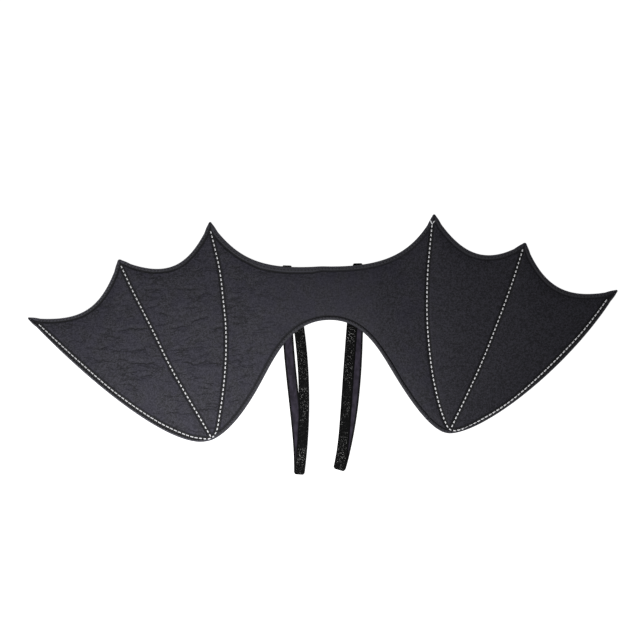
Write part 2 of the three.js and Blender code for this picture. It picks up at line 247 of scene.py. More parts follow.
class TapeSettings(bpy.types.PropertyGroup):
    height: length("Height", "Thickness over the folded tape", 0.004, 0.02)
    thickness: length("Thickness", "Thickness of the tape itself", 0.0006, 0.005)
    back_width: length("Width behind", "Width of the tape on the back", 0.0035, 0.02)
    step: length("Step", "Distance from one section of the tape to the next", 0.0013, 0.02)
    cloth: colour("Tape", "Colour of the woven tape", (0.0282, 0.0277, 0.0345))


class ThreadSettings(bpy.types.PropertyGroup):
    pitch: length("Pitch", "Distance from one stitch to the next", 0.0044, 0.02)
    stitch: length("Stitch", "Visible length of one stitch", 0.0031, 0.02)
    width: length("Width", "Width of the two-ply thread", 0.00128, 0.005)
    long_stitch: share("Lower edge stitch", "Length of the lower edges' stitches over the others", 1.3, 3.0)
    cloth: colour("Thread", "Colour of the white thread", (0.92, 0.92, 0.94))
    dark: colour("Tape thread", "Colour of the black thread of the tape's seam", (0.007, 0.007, 0.008))


class StrapSettings(bpy.types.PropertyGroup):
    width: length("Width", "Width of the elastic with its fluff", 0.0106, 0.05)
    base: length("Thickness", "Thickness of the elastic without its pile", 0.0009, 0.005)
    pile: length("Pile", "Height of the plush pile", 0.0003, 0.003)
    turned_in: length("Turned in", "Length of the end that is folded over at the neck edge", 0.011, 0.05)
    corner: length("Corner", "Rounding of the corners at the fold", 0.003, 0.005)
    tufts: IntProperty(name="Tufts", description="Tufts of pile on each strap", default=8500, min=0, max=14000)
    smooth: colour("Smooth face", "Colour of the smooth face", (0.0190, 0.0158, 0.0242))
    plush: colour("Plush face", "Colour of the plush face", (0.0022, 0.0022, 0.0024))
    # Painted glints: this light colour on some loops stands in for their shine
    glint: colour("Pile glints", "Colour of the light loops in the pile", (0.42, 0.42, 0.41))


class StageSettings(bpy.types.PropertyGroup):
    floor: colour("Floor", "Colour of the floor", (0.35, 0.35, 0.35))
    floor_size: length("Floor size", "Side of the square floor", 12.0, 50.0)
    glow: share("Floor glow", "Light from the floor itself, which is a lit table", 0.98, 5.0)
    key_power: share("Main light", "Power of the main light in watts", 2.63, 500.0)
    world: share("Sky", "Strength of the even light from all around", 0.15, 5.0)


class BatWingsSettings(bpy.types.PropertyGroup):
    panel: PointerProperty(type=PanelSettings)
    tape: PointerProperty(type=TapeSettings)
    thread: PointerProperty(type=ThreadSettings)
    straps: PointerProperty(type=StrapSettings)
    stage: PointerProperty(type=StageSettings)


# Selection, meshes and modifiers


def select_only(piece):
    """Deselects everything else, because an operator acts on all that is selected."""
    if bpy.context.object and bpy.context.object.mode != "OBJECT":
        bpy.ops.object.mode_set(mode="OBJECT")
    bpy.ops.object.select_all(action="DESELECT")
    if piece is not None:
        piece.select_set(True)
    bpy.context.view_layer.objects.active = piece


def named(piece, name):
    piece.name = name
    piece.data.name = name
    return piece


def apply_modifier(piece, modifier):
    select_only(piece)
    bpy.ops.object.modifier_apply(modifier=modifier.name)


def modify(piece, kind, **values):
    """Adds a modifier with some values and applies it."""
    modifier = piece.modifiers.new(kind.title(), kind)
    for name, value in values.items():
        setattr(modifier, name, value)
    apply_modifier(piece, modifier)


def edit_all(piece, *steps):
    """Runs edit mode operators on the whole of a piece."""
    select_only(piece)
    bpy.ops.object.mode_set(mode="EDIT")
    bpy.ops.mesh.select_all(action="SELECT")
    for step in steps:
        step()
    bpy.ops.object.mode_set(mode="OBJECT")


def select_edges(piece, wanted):
    """Selects, in edit mode, the edges for which a test holds."""
    bpy.ops.mesh.select_mode(type="EDGE")
    bpy.ops.mesh.select_all(action="DESELECT")
    mesh = bmesh.from_edit_mesh(piece.data)
    for edge in mesh.edges:
        if wanted(edge):
            edge.select_set(True)
    bmesh.update_edit_mesh(piece.data)


def weld():
    bpy.ops.mesh.remove_doubles(threshold=WELD)


def face_outwards():
    bpy.ops.mesh.normals_make_consistent(inside=False)


def coordinates(piece):
    flat = np.empty(len(piece.data.vertices) * 3)
    piece.data.vertices.foreach_get("co", flat)
    return flat.reshape(-1, 3)


def set_coordinates(piece, points):
    piece.data.vertices.foreach_set("co", np.asarray(points, float).ravel())
    piece.data.update()


def mark(piece, **values):
    """Stores numbers at the vertices, for the material to read."""
    for name, numbers in values.items():
        attribute = piece.data.attributes.new(name, "FLOAT", "POINT")
        attribute.data.foreach_set("value", np.asarray(numbers, np.float32))


def laid_grid(name, points, sizes):
    """A grid whose vertices are laid on rows of points. Its UV map holds real lengths, in metres:
    along the rows and across them."""
    rows, columns = points.shape[:2]
    select_only(None)
    bpy.ops.mesh.primitive_grid_add(x_subdivisions=columns - 1, y_subdivisions=rows - 1, size=1)
    piece = named(bpy.context.object, name)
    piece.location = (0, 0, 0)
    set_coordinates(piece, points.reshape(-1, 3))
    corners = np.empty(len(piece.data.loops), dtype=np.int64)
    piece.data.loops.foreach_get("vertex_index", corners)
    piece.data.uv_layers[0].data.foreach_set("uv", sizes.reshape(-1, 2)[corners].ravel())
    return piece


def joined_copies(name, model, places):
    """One mesh of copies of a model. Each place is an origin and the directions of the model's
    own x, y and z, with their scales."""
    shape = coordinates(model)
    faces = [list(polygon.vertices) for polygon in model.data.polygons]
    vertices = np.concatenate([origin + shape @ axes for origin, axes in places])
    count = len(shape)
    all_faces = [[corner + k * count for corner in face] for k in range(len(places)) for face in faces]
    mesh = bpy.data.meshes.new(name)
    mesh.from_pydata(vertices.tolist(), [], all_faces)
    piece = bpy.data.objects.new(name, mesh)
    bpy.context.scene.collection.objects.link(piece)
    bpy.data.objects.remove(model)
    select_only(piece)
    bpy.ops.object.shade_smooth()
    return piece


def dress(piece, slot, *nodes):
    """The piece rides on the wings and stands for CAD nodes. The slot is not used."""
    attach(piece, BODY)
    if nodes:
        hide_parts(*nodes)
    return piece


# Curves


def smooth_through(points, step):
    """A smooth line through points, resampled at even steps."""
    points = np.asarray(points, float)
    padded = np.vstack([2 * points[0] - points[1], points, 2 * points[-1] - points[-2]])
    dense = []
    for before, start, end, after in zip(padded, padded[1:], padded[2:], padded[3:]):
        count = max(4, int(np.linalg.norm(end - start) / (step / 8)))
        t = np.linspace(0, 1, count, endpoint=False)[:, None]
        pairs = ((before, start), (start, end), (end, after))
        gaps = [max(np.linalg.norm(q - p), WELD) ** 0.5 for p, q in pairs]
        leave = (start - before) / gaps[0] - (end - before) / (gaps[0] + gaps[1]) + (end - start) / gaps[1]
        arrive = (end - start) / gaps[1] - (after - start) / (gaps[1] + gaps[2]) + (after - end) / gaps[2]
        leave, arrive = leave * gaps[1], arrive * gaps[1]
        dense.append(
            start + t * leave
            + t**2 * (-3 * start + 3 * end - 2 * leave - arrive)
            + t**3 * (2 * start - 2 * end + leave + arrive)
        )
    dense = np.vstack([*dense, points[-1:]])
    return even_steps(dense, step)


def even_steps(line, step):
    run = run_lengths(line)
    count = max(2, round(run[-1] / step) + 1)
    wanted = np.linspace(0, run[-1], count)
    return np.column_stack([np.interp(wanted, run, line[:, k]) for k in range(line.shape[1])])


def run_lengths(line):
    return np.concatenate([[0], np.cumsum(np.linalg.norm(np.diff(line, axis=0), axis=1))])


def unit(vectors):
    return vectors / np.linalg.norm(vectors, axis=-1, keepdims=True)


def turned_left(directions):
    """Flat directions turned left by a quarter."""
    return np.stack([-directions[..., 1], directions[..., 0]], axis=-1)


def ease(t):
    t = np.clip(t, 0, 1)
    return t * t * (3 - 2 * t)


def hump(distance, width):
    """1 at no distance, falling off smoothly to both sides."""
    return np.exp(-((distance / width) ** 2))


def tree_of(points):
    """A search tree of points by their x and y."""
    tree = KDTree(len(points))
    for k, point in enumerate(points):
        tree.insert((point[0], point[1], 0), k)
    tree.balance()
    return tree


def signed_distances(points, samples, sides):
    """For each point, the distance to the nearest sample, which is positive on the side that the
    sample's own direction points to, and the number of that sample."""
    tree = tree_of(samples)
    signed, nearest = np.empty(len(points)), np.empty(len(points), dtype=np.int64)
    for k, point in enumerate(points):
        _, nearest[k], distance = tree.find((point[0], point[1], 0))
        side = (point[:2] - samples[nearest[k]]) @ sides[nearest[k]]
        signed[k] = distance if side >= 0 else -distance
    return signed, nearest


def bezier(handles, count):
    p = np.asarray(handles, float) * MM
    t = np.linspace(0, 1, count)[:, None]
    return (1 - t) ** 3 * p[0] + 3 * (1 - t) ** 2 * t * p[1] + 3 * (1 - t) * t**2 * p[2] + t**3 * p[3]


# Edge of the wings


class Edge:
    """The edge of the wings as even stations, read from the outer wall of the CAD tape. Each
    station has a place at the height of the panel's back, the direction inwards, how far inwards
    the tape may reach before it meets the mitre at a tip, and the tape's width on the front."""

    def __init__(self, step):
        ring = self.ring()
        lift = ring[:, 2] - ring[:, 2].min()
        ring = np.column_stack([ring[:, :2], lift])
        to_next = unit(np.roll(ring, -1, 0)[:, :2] - ring[:, :2])
        from_last = np.roll(to_next, 1, 0)
        turn = np.degrees(np.arccos(np.clip((to_next * from_last).sum(1), -1, 1)))
        tips = np.nonzero(turn > TIP_BEND)[0]
        stretches = [
            smooth_through(np.take(ring, range(a, b + 1), axis=0, mode="wrap"), step)
            for a, b in zip(tips, [*tips[1:], tips[0] + len(ring)])
        ]
        self.points = np.vstack([stretch[:-1] for stretch in stretches])
        self.blunt(np.cumsum([0] + [len(stretch) - 1 for stretch in stretches[:-1]]))
        borders = [
            self.border(stretches[k - 1], stretch, stretches[(k + 1) % len(stretches)])
            for k, stretch in enumerate(stretches)
        ]
        self.inwards = np.vstack([across for across, _ in borders])
        self.reach = np.concatenate([room for _, room in borders])
        self.widths = self.front_widths()
        self.tree = tree_of(self.points)

    def blunt(self, tip):
        """Rounds the tips and widens the tape evenly beside them."""
        between = (self.points[tip - 1] + self.points[tip + 1]) / 2
        outwards = unit(self.points[tip] - between)
        self.points[tip] = (self.points[tip] + 2 * between) / 3 + outwards * TIP_REACH
        for way in (-1, 1):
            apart = unit(self.points[tip + way] - between)
            for steps in range(1, TIP_STATIONS + 1):
                station = (tip + way * steps) % len(self.points)
                out = max(0.0, TIP_OUT - TIP_OUT_FALL * steps)
                bulge = TIP_APART * math.sin(math.pi * (steps + 1.2) / (TIP_STATIONS + 2.2))
                self.points[station] += (outwards * out + apart * bulge) * TIP_REACH

    @staticmethod
    def border(before, stretch, after):
        """The directions inwards along a stretch between two tips, and the room of the tape."""
        across = unit(turned_left(np.gradient(stretch[:, :2], axis=0)))
        room = np.full(len(stretch), np.inf)
        mitres = [mitre(before[-2], stretch[0], stretch[1]), mitre(stretch[-2], stretch[-1], after[1])]
        for tip, (bisector, _) in zip((stretch[0], stretch[-1]), mitres):
            room = np.minimum(room, distance_to_mitre(stretch[:, :2], across, tip[:2], bisector))
        bisector, stretching = mitres[0]
        across[0] = bisector * stretching
        room[0] = np.inf
        return across[:-1], room[:-1]

    @staticmethod
    def ring():
        """The lower corners of the tape's outer wall, anticlockwise."""
        mesh = bmesh.new()
        mesh.from_mesh(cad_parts["edge_binding"].data)
        bmesh.ops.remove_doubles(mesh, verts=mesh.verts, dist=WELD)
        upright = [e for e in mesh.edges if (e.verts[0].co.xy - e.verts[1].co.xy).length < WELD]
        outer_wall = 0.97 * max(e.calc_length() for e in upright)
        feet = {min(e.verts, key=lambda v: v.co.z) for e in upright if e.calc_length() > outer_wall}
        ordered = [max(feet, key=lambda v: v.co.x)]
        while len(ordered) < len(feet):
            nearby = [e.other_vert(ordered[-1]) for e in ordered[-1].link_edges]
            ordered.append(next(v for v in nearby if v in feet and v not in ordered))
        ring = np.array([v.co[:] for v in ordered])
        mesh.free()
        x, y = ring[:, 0], ring[:, 1]
        area = (x * np.roll(y, -1) - y * np.roll(x, -1)).sum()
        return ring if area > 0 else ring[::-1]

    def front_widths(self):
        """The width of the tape on the front at each station, a little uneven as sewn tape is."""
        upper, lower = (
            np.interp(self.points[:, 0], *(np.array(table).T * MM))
            for table in (TAPE_FRONT_WIDTHS, TAPE_LOWER_WIDTHS)
        )
        facing_up = ease((-self.inwards[:, 1] + 0.1) / 0.3)
        width = lower + (upper - lower) * facing_up
        wobble = np.array([noise.noise((p[0] * 60, p[1] * 60, 4.0)) for p in self.points])
        return width + TAPE_WOBBLE * wobble

    def lift(self, x):
        """The height of the panel's back above the floor at any x."""
        order = np.argsort(self.points[:, 0])
        return np.interp(x, self.points[order, 0], self.points[order, 2])

    def nearest(self, point):
        """The station nearest to a point, and how far inside the edge the point lies."""
        _, k, distance = self.tree.find((point[0], point[1], 0))
        return k, distance


def mitre(before, tip, after):
    """The direction inwards at a tip and how far an even border stretches along it."""
    in_first = turned_left(unit(tip[:2] - before[:2]))
    in_second = turned_left(unit(after[:2] - tip[:2]))
    bisector = unit(in_first + in_second)
    return bisector, 1 / max((bisector * in_first).sum(), 0.2)


def distance_to_mitre(points, across, tip, bisector):
    """How far each point can move inwards before it meets the mitre line from a tip."""
    offset = tip - points
    cross = across[:, 0] * bisector[1] - across[:, 1] * bisector[0]
    cross = np.where(np.abs(cross) < WELD, np.nan, cross)
    reach = (offset[:, 0] * bisector[1] - offset[:, 1] * bisector[0]) / cross
    along = (offset[:, 0] * across[:, 1] - offset[:, 1] * across[:, 0]) / cross
    return np.where((reach > 0) & (along > 0), reach, np.inf)


# Materials


class Value:
    """A number that varies over a material. The usual operators make further ones from it."""

    def __init__(self, finish, socket):
        self.finish, self.socket = finish, socket

    def math(self, operation, other=0.0, swapped=False):
        made = self.finish.node("Math", operation=operation)
        for socket, value in zip(made.inputs, (other, self) if swapped else (self, other)):
            self.finish.feed(socket, value)
        return Value(self.finish, made.outputs[0])

    __add__ = partialmethod(math, "ADD")
    __sub__ = partialmethod(math, "SUBTRACT")
    __rsub__ = partialmethod(math, "SUBTRACT", swapped=True)
    __mul__ = partialmethod(math, "MULTIPLY")
    __abs__ = partialmethod(math, "ABSOLUTE")
    at_least = partialmethod(math, "MAXIMUM")
    at_most = partialmethod(math, "MINIMUM")

    def between(self, low, high, to_low=0.0, to_high=1.0):
        """Eased from one range to another."""
        made = self.finish.node("MapRange", interpolation_type="SMOOTHSTEP")
        for socket, value in zip(made.inputs, (self, low, high, to_low, to_high)):
            self.finish.feed(socket, value)
        return Value(self.finish, made.outputs[0])

    def fading(self, low, high):
        """1 below a range and 0 above it."""
        return self.between(low, high, 1.0, 0.0)

    def band(self, low, high, soft=0.004):
        """1 between two limits, fading outside them."""
        return self.between(low - soft, low) * self.fading(high, high + soft)

    def thin_lines(self, width):
        """1 where a noise field passes its middle value, falling to 0 within a width."""
        return abs(self - 0.5).fading(0.0, width)

    def wave(self, pitch):
        """Even ridges from 0 to 1 along a coordinate in metres."""
        return (self * (2 * math.pi / pitch)).math("SINE") * 0.5 + 0.5


class Finish:
    """A new material, and short ways to lay out its nodes."""

    def __init__(self, name, roughness):
        self.material = bpy.data.materials.new(name)
        self.material.use_nodes = True
        self.nodes = self.material.node_tree.nodes
        self.shader = self.nodes["Principled BSDF"]
        self.set(Roughness=roughness)

    def feed(self, socket, value):
        if isinstance(value, Value):
            value = value.socket
        if isinstance(value, bpy.types.NodeSocket):
            self.material.node_tree.links.new(value, socket)
        else:
            socket.default_value = value

    def set(self, **values):
        """Sets sockets of the shader, with spaces for underscores."""
        for name, value in values.items():
            self.feed(self.shader.inputs[name.replace("_", " ")], value)

    def node(self, kind, **settings):
        made = self.nodes.new("ShaderNode" + kind)
        for name, value in settings.items():
            setattr(made, name, value)
        return made

    def place(self, stretch=(1, 1, 1)):
        """Object coordinates, stretched."""
        made = self.node("Mapping")
        self.feed(made.inputs["Vector"], self.node("TexCoord").outputs["Object"])
        made.inputs["Scale"].default_value = stretch
        return made.outputs["Vector"]

    def uv(self):
        return self.node("TexCoord").outputs["UV"]

    def attribute(self, name):
        return Value(self, self.node("Attribute", attribute_name=name).outputs["Fac"])

    def parts(self, vector):
        made = self.node("SeparateXYZ")
        self.feed(made.inputs[0], vector)
        return [Value(self, socket) for socket in made.outputs]

    def noise(self, scale, detail=2.0, roughness=0.5, distortion=0.0, stretch=(1, 1, 1), shift=None):
        """A noise field over the object coordinates, which may be stretched and shifted."""
        vector = self.place(stretch)
        if shift:
            vector = self.shifted(vector, *shift)
        made = self.node("TexNoise")
        for name, value in (("Vector", vector), ("Scale", scale), ("Detail", detail),
                            ("Roughness", roughness), ("Distortion", distortion)):
            self.feed(made.inputs[name], value)
        return Value(self, made.outputs["Fac"])

    def shifted(self, vector, scale, amount):
        """A vector moved about by noise of a scale and by an amount, so that lines meander."""
        made = self.node("TexNoise")
        self.feed(made.inputs["Vector"], vector)
        made.inputs["Scale"].default_value = scale
        centred = self.node("VectorMath", operation="SUBTRACT")
        self.feed(centred.inputs[0], made.outputs["Color"])
        centred.inputs[1].default_value = (0.5, 0.5, 0.5)
        moved = self.node("VectorMath", operation="MULTIPLY_ADD")
        for socket, value in zip(moved.inputs, (centred.outputs[0], (amount, amount, amount), vector)):
            self.feed(socket, value)
        return moved.outputs[0]

    def mix(self, share_of_second, first, second):
        made = self.node("Mix", data_type="RGBA")
        self.feed(made.inputs["Factor"], share_of_second)
        self.feed(made.inputs[6], first)
        self.feed(made.inputs[7], second)
        return made.outputs[2]

    def shades(self, light, base, darkest, lightest):
        """From a dark to a light shade of one colour."""
        return self.mix(light, rgba(base, darkest), rgba(base, lightest))

    def relief(self, height, distance):
        """Raises the surface by a height field of 0 to 1 times a distance in metres."""
        made = self.node("Bump")
        made.inputs["Distance"].default_value = distance
        made.inputs["Strength"].default_value = 1.0
        self.feed(made.inputs["Height"], height)
        self.feed(self.shader.inputs["Normal"], made.outputs["Normal"])


def rgba(value, scale=1.0):
    return (*[min(1.0, part * scale) for part in value], 1.0)


def painted_shadow_beside_tape(x):
    """How dark the painted shadow is where the cloth and the tape meet: less so to the right."""
    return x.between(-0.1, 0.12, 1.0, 0.6)


def creased_cloth(settings):
    """Charcoal cloth with a fine grain. The deep creases and the grooves of the seams lie where
    the mesh says, and fine ones are strewn between them, most on the left wing. Painted shade
    darkens the creases, the seam grooves and a line beside the tape."""
    finish = Finish("Creased charcoal cloth", 0.72)
    x, _, _ = finish.parts(finish.place())
    left = x.between(-0.1, 0.03, 1.0, 0.1)
    on_wing = abs(x).between(0.045, 0.08)
    wander = (finish.noise(420, 2, 0.6) - 0.5) * 0.0014
    deep = abs(finish.attribute("crease") + wander).fading(0.0001, 0.00085)
    deep = deep * finish.attribute("crease_away").fading(0.0016, 0.0028) * finish.attribute("crease_depth")
    fine_lines = finish.noise(42, 2, 0.55, stretch=(1, 3.4, 1), shift=(60, 0.016)).thin_lines(0.03)
    fine_patches = finish.noise(50, 1, stretch=(1, 1.6, 1)).between(0.43, 0.6)
    fine = fine_lines * fine_patches * left.at_least(on_wing * 0.4) * 0.65
    creases = deep.at_least(fine)
    seams = abs(finish.attribute("inner_line")).at_most(abs(finish.attribute("middle_line")))
    # Painted shadow: a dark line on the cloth along the tape's inner edge
    painted_shadow_at_tape = finish.attribute("from_tape").fading(0.0007, 0.0019) * painted_shadow_beside_tape(x)
    groove = seams.fading(0.0018, 0.0031).at_least(painted_shadow_at_tape)
    grain = finish.noise(680, 2, 0.7, 0.9)
    mottle = finish.noise(300, 2, 0.6, stretch=(1, 1.3, 1), shift=(200, 0.003))
    crumple = finish.noise(120, 3, 0.5, stretch=(1, 2.2, 1), shift=(90, 0.01))
    light = (grain * 0.75 + mottle * 0.2).between(0.395, 0.562)
    light = (light - 0.5) * (on_wing * 0.34 + 0.83) + 0.5
    cloth = finish.mix(light, rgba(settings.cloth, 0.5), rgba(settings.cloth_light, 1.13))
    patches = finish.noise(75, 2, 0.5).between(0.4, 0.62) * x.between(0.09, 0.13, 0.26, 0.04)
    cloth = finish.mix(patches, cloth, rgba(settings.tint))
    # Painted shade: the cloth is darkened in the creases, in the seam grooves and beside the tape
    shade = (creases * 0.85).at_least(groove * 0.95)
    finish.set(Base_Color=finish.mix(shade, cloth, rgba(settings.cloth, 0.2)))
    finish.set(Sheen_Weight=settings.sheen, Sheen_Roughness=0.45, Specular_IOR_Level=0.3)
    finish.relief(grain * 0.4 + mottle * 0.4 + crumple * left * 0.7 - creases * 0.8 - groove * 0.8, 0.0006)
    return finish.material


def woven_tape(settings):
    """Black tape with fine ribs across it. Painted light makes it paler towards the left wing's outer tip and
    along the left wing's lower edge, and painted shade darkens its inner and outer rims.
    """
    finish = Finish("Black woven tape", 0.62)
    along, across, _ = finish.parts(finish.uv())
    x, _, _ = finish.parts(finish.place())
    from_outline = finish.attribute("from_outline")
    weave = along.wave(0.0007) * (across.wave(0.0005) * 0.5 + 0.5)
    wear = finish.noise(240, 3, 0.6)
    # Painted light: the tape is made paler towards the left wing's outer tip
    light = weave * 0.35 + wear * 0.5 + x.between(-0.2, -0.12, 0.45, 0.0)
    cloth = finish.shades(light, settings.cloth, 0.9, 2.1)
    # Painted light: the tape's front is made paler along the left wing's lower edge, near the outline
    painted_light_lower_edge = finish.attribute("lower") * x.between(-0.13, -0.11, 0.9, 0.0) * from_outline.fading(0.0012, 0.0018)
    cloth = finish.mix(painted_light_lower_edge, cloth, rgba(settings.cloth, 2.6))
    # Painted shade: dark lines along the tape's inner edge and along its outline, by x
    painted_shade_inner_rim = finish.attribute("from_inner_edge").fading(0.0002, 0.0008) * painted_shadow_beside_tape(x)
    painted_shade_outline_strength = x.between(-0.12, 0.03, 0.1, 0.4) * x.between(0.09, 0.14, 1.0, 0.1)
    painted_shade_rims = painted_shade_inner_rim.at_least(from_outline.fading(0.0002, 0.001) * painted_shade_outline_strength)
    finish.set(Base_Color=finish.mix(painted_shade_rims, cloth, rgba(settings.cloth, 0.2)))
    finish.set(Sheen_Weight=0.05, Sheen_Roughness=0.5, Specular_IOR_Level=0.18)
    finish.relief(weave + wear * 0.8, 0.00012)
    return finish.material


def twisted_thread(settings):
    """White sewing thread with slightly grey hollows, greyed with painted shade towards the left wing."""
    finish = Finish("White thread", 0.55)
    fibres = finish.noise(2600, 2, 0.6)
    x, _, _ = finish.parts(finish.place())
    cloth = finish.shades(fibres.between(0.3, 0.7), settings.cloth, 0.86, 1.04)
    # Painted shade: the thread is greyed towards the left wing, where the main light falls strongest
    cloth = finish.mix(x.between(-0.22, 0.08, 0.5, 0.0), cloth, rgba(settings.cloth, 0.3))
    finish.set(Base_Color=cloth, Sheen_Weight=0.1, Specular_IOR_Level=0.4)
    finish.relief(fibres, 0.00008)
    return finish.material


def black_thread(settings):
    """Black sewing thread of the tape's seam."""
    finish = Finish("Black thread", 0.6)
    fibres = finish.noise(2600, 2, 0.6)
    finish.set(Base_Color=finish.shades(fibres, settings.dark, 0.7, 1.8))
    finish.relief(fibres, 0.00008)
    return finish.material


def smooth_elastic(settings):
    """The smooth face of the elastic: fine cross ribs, dark along both edges, with painted shade over the
    turned-in end and the fold at the neck edge, and painted light that makes the right strap paler.
    """
    finish = Finish("Smooth elastic", 0.6)
    along, across, _ = finish.parts(finish.uv())
    x, _, _ = finish.parts(finish.place())
    weave = along.wave(0.0011) * 0.6 + across.wave(0.0006) * 0.4
    wear = finish.noise(210, 3, 0.6, stretch=(1.4, 0.8, 1)).between(0.34, 0.66)
    streaks = finish.noise(620, 2, 0.6, stretch=(1, 0.1, 1)).between(0.35, 0.65)
    # Painted light: the right strap is made paler, as it lies further from the main light
    light = weave * 0.2 + (wear * 0.6 + streaks * 0.2) + x.between(-0.002, 0.002, 0.0, 0.15)
    cloth = finish.shades(light, settings.smooth, 0.5, 2.0)
    rim = abs(across - settings.width / 2).between(settings.width * 0.26, settings.width * 0.4)
    # Painted shade over the turned-in end and the fold at the neck edge, joined with the dark edges
    dark = rim.at_least(along.fading(settings.turned_in + 0.001, settings.turned_in + 0.004))
    finish.set(Base_Color=finish.mix(dark, cloth, rgba(settings.plush, 0.4)))
    finish.set(Sheen_Weight=0.02, Specular_IOR_Level=0.08)
    finish.relief(weave, 0.00015)
    return finish.material


def plush_ground(settings):
    """The black ground under the pile."""
    finish = Finish("Plush ground", 0.8)
    fluff = finish.noise(1500, 3, 0.6)
    finish.set(Base_Color=finish.shades(fluff, settings.plush, 0.6, 1.3), Specular_IOR_Level=0.1)
    finish.relief(fluff, 0.0003)
    return finish.material


def plush_pile(settings):
    """Black loops of the pile, with painted glints: loops coloured light in patches, at some bands and above
    the folds.
    """
    finish = Finish("Plush pile", 0.6)
    x, y, _ = finish.parts(finish.place())
    on_right = y.band(0.004, 0.017).at_least(y.band(-0.035, -0.017) * 0.7)
    on_left = y.band(-0.030, -0.012).at_least(y.band(-0.060, -0.042))
    right = x.between(-0.002, 0.002)
    bands = on_right * right + on_left * (1.0 - right) * 0.65
    above_fold = y.between(-0.1185, -0.1155, 0.4, 1.0) * y.fading(-0.105, -0.099)
    patches = finish.noise(95, 2, 0.5).between(0.46, 0.56, 0.1, 0.6)
    single = finish.noise(700, 0).between(0.5, 0.66)
    strength = patches.at_least(bands).at_least(above_fold) * y.between(0.04, 0.06, 1.0, 0.4)
    # Painted glints: loops coloured light in place of their shine
    light = strength * single * finish.attribute("off_margin")
    cloth = finish.mix(light, rgba(settings.plush), rgba(settings.glint))
    finish.set(Base_Color=cloth, Specular_IOR_Level=0.05)
    return finish.material


def pale_floor(settings):
    """A plain pale floor with hardly any texture."""
    finish = Finish("Pale floor", 0.9)
    soft = finish.noise(6, 2, 0.5)
    finish.set(Base_Color=finish.shades(soft, settings.floor, 0.995, 1.0), Specular_IOR_Level=0.1)
    finish.set(Emission_Color=(1, 1, 1, 1), Emission_Strength=settings.glow)
    return finish.material


# Padded panel


def distances_to_lines(points, names):
    """The signed distance from points to the nearest of some stitched lines. The sign changes
    from one side of a line to the other."""
    samples, sides = [], []
    for name in names:
        line = smooth_through(np.array(RIB_LINES[name]) * MM, FINE_STEP)
        turn = -1 if name.startswith("right") else 1
        samples.append(line)
        sides.append(turned_left(unit(np.gradient(line, axis=0))) * turn)
    return signed_distances(points, np.vstack(samples), np.vstack(sides))[0]


def padded_start(settings):
    """A copy of the CAD panel as an even mesh of small faces."""
    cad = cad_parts["wing_panel"]
    select_only(None)
    panel = bpy.data.objects.new("padded_panel", cad.data.copy())
    bpy.context.scene.collection.objects.link(panel)
    named(panel, "padded_panel")
    edit_all(panel, weld)
    panel.data.remesh_voxel_size = settings.voxel
    select_only(panel)
    bpy.ops.object.voxel_remesh()
    return panel


def swell(panel, held, settings):
    """Lets pressure lift the cloth between the seams. Held is 1 where the cloth is sewn down."""
    start = coordinates(panel)
    group = panel.vertex_groups.new(name="sewn_down")
    for k in np.nonzero(held > 0.01)[0]:
        group.add([int(k)], float(held[k]), "REPLACE")
    modifier = panel.modifiers.new("Padding", "CLOTH")
    cloth = modifier.settings
    cloth.use_pressure = True
    cloth.uniform_pressure_force = settings.pressure
    cloth.effector_weights.gravity = 0
    cloth.vertex_group_mass = group.name
    cloth.bending_stiffness = 0.05
    modifier.point_cache.frame_start = 1
    modifier.point_cache.frame_end = SWELL_FRAMES
    for number in range(1, SWELL_FRAMES + 1):
        bpy.context.scene.frame_set(number)
    apply_modifier(panel, modifier)
    bpy.context.scene.frame_set(1)
    move = coordinates(panel) - start
    far = np.linalg.norm(move, axis=1, keepdims=True)
    set_coordinates(panel, start + move * np.minimum(1, settings.largest_swell / np.maximum(far, WELD)))
    panel.vertex_groups.clear()


def crease_samples():
    """Points along all creases, their directions upwards on the wing and their depths."""
    samples, sides, depths = [], [], []
    for *ends, rise, depth in CREASES:
        start, end = np.array(ends).reshape(2, 2) * MM
        side = turned_left(unit(end - start))
        count = max(8, int(np.linalg.norm(end - start) / 0.0004))
        t = np.linspace(0, 1, count)[:, None]
        line = start + (end - start) * t + side * rise * MM * 4 * t * (1 - t)
        meander = [
            0.0014 * noise.noise((x * 150, y * 150, 5.0)) + 0.0009 * noise.noise((x * 420, y * 420, 9.0))
            for x, y in line
        ]
        samples.append(line + side * np.array(meander)[:, None])
        sides.append(np.repeat([side], count, axis=0))
        depths.append(depth * (4 * t[:, 0] * (1 - t[:, 0])) ** 0.4)
    return np.vstack(samples), np.vstack(sides), np.concatenate(depths)


def crease_map(points):
    """For each point, the signed distance to the nearest crease and that crease's depth there."""
    samples, sides, depths = crease_samples()
    signed, nearest = signed_distances(points, samples, sides)
    return signed, depths[nearest]


def cloth_relief(points, crease, depth, settings):
    """The valleys of the creases with a soft ridge above each, and gentle bumps between them,
    drawn out sideways and strongest on the left wing."""
    valley = hump(crease, VALLEY) - RIDGE * hump(crease - RIDGE_AT, RIDGE_WIDTH)
    bumps = np.empty(len(points))
    for k, (x, y, _) in enumerate(points):
        drift = 0.006 * noise.noise((x * 28, y * 28, 7.0))
        broad = noise.noise((x * 30, (y + drift) * 80, 1.0))
        narrow = noise.noise((x * 75, (y + drift) * 190, 3.0))
        bumps[k] = 0.7 * broad + 0.4 * narrow
    strength = 0.12 + 0.88 * ease(-points[:, 0] / 0.12)
    return bumps * strength * settings.unevenness - valley * depth * settings.crease_depth


